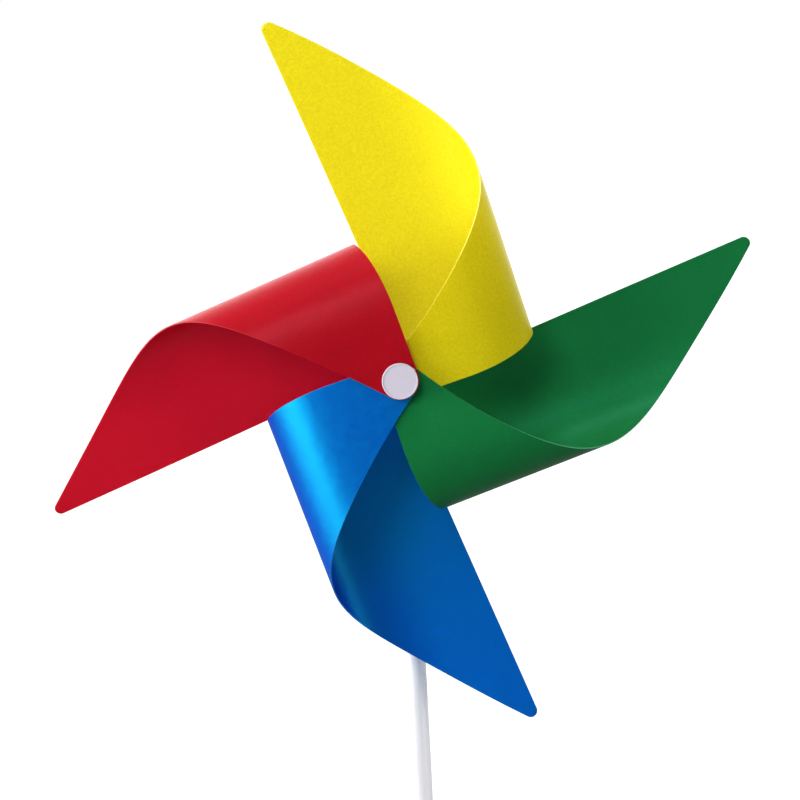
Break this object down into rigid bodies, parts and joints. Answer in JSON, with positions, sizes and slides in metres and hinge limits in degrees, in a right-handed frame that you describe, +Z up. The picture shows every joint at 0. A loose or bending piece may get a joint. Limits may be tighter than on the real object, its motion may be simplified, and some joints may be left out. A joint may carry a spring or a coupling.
{
  "type": "toy pinwheel",
  "caption": "Toy pinwheel: curled coloured plastic leaves on an axle that spins in the head of a straight white stick.",
  "frame": {"origin": "centre of the stick's lower end", "axes": "+Z up the stick, the wheel's front faces -Y and its axle lies along Y, +X to the right seen from the front"},
  "size_m": [0.2281, 0.0708, 0.4143],
  "materials": {
    "yellow_sheet": "satin plastic sheet",
    "green_sheet": "satin plastic sheet",
    "blue_sheet": "satin plastic sheet",
    "red_sheet": "satin plastic sheet",
    "white_plastic": "satin moulded plastic",
    "stick_plastic": "satin extruded tube",
    "washer_nylon": "natural nylon",
    "axle_steel": "drawn wire"
  },
  "bodies": {
    "stick": {"stick_tube": "stick_plastic", "stick_head": "white_plastic", "axle_bush": "washer_nylon", "front_washer": "washer_nylon", "rear_washer": "washer_nylon", "foot_plug": "white_plastic"},
    "rotor": {"yellow_leaf": "yellow_sheet", "green_leaf": "green_sheet", "blue_leaf": "blue_sheet", "red_leaf": "red_sheet", "front_cap": "white_plastic", "axle_pin": "axle_steel", "hub_sleeve": "white_plastic", "front_spacer_ring_1": "white_plastic", "front_spacer_ring_2": "white_plastic", "front_spacer_ring_3": "white_plastic", "rear_spacer_ring_1": "white_plastic", "rear_spacer_ring_2": "white_plastic", "rear_spacer_ring_3": "white_plastic", "rear_flange": "white_plastic", "retaining_cap": "white_plastic"}
  },
  "joints": [
    {"name": "rotor_spin", "type": "hinge", "parent": "stick", "child": "rotor", "pos_m": [0, 0, 0.3], "axis": [0, 1, 0], "continuous": true}
  ]
}
